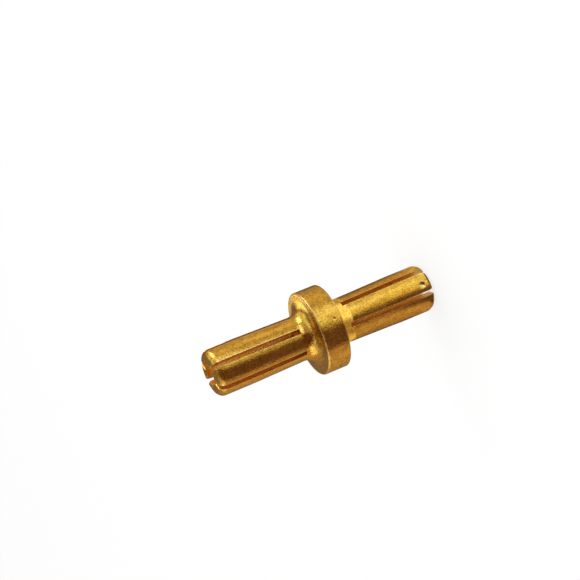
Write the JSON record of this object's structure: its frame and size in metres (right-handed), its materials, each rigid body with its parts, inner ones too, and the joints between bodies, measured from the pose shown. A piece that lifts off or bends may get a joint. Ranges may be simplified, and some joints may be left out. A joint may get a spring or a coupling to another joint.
{
  "type": "bullet connector for battery leads",
  "caption": "Gold-plated brass connector with a slotted spring barrel on each side of a central flange, which joins two battery lead sockets.",
  "frame": {"origin": "centre of the tip that the connector stands on, at the height of that tip", "axes": "+Z along the connector's axis, from the lower tip to the upper tip; +X along a pair of opposite slots in the lower barrel"},
  "size_m": [0.009, 0.009, 0.025],
  "materials": {
    "gold_plated_brass": "satin gold plating over turned brass, slightly grainy"
  },
  "bodies": {
    "root": {"connector_body": "gold_plated_brass"}
  },
  "joints": []
}
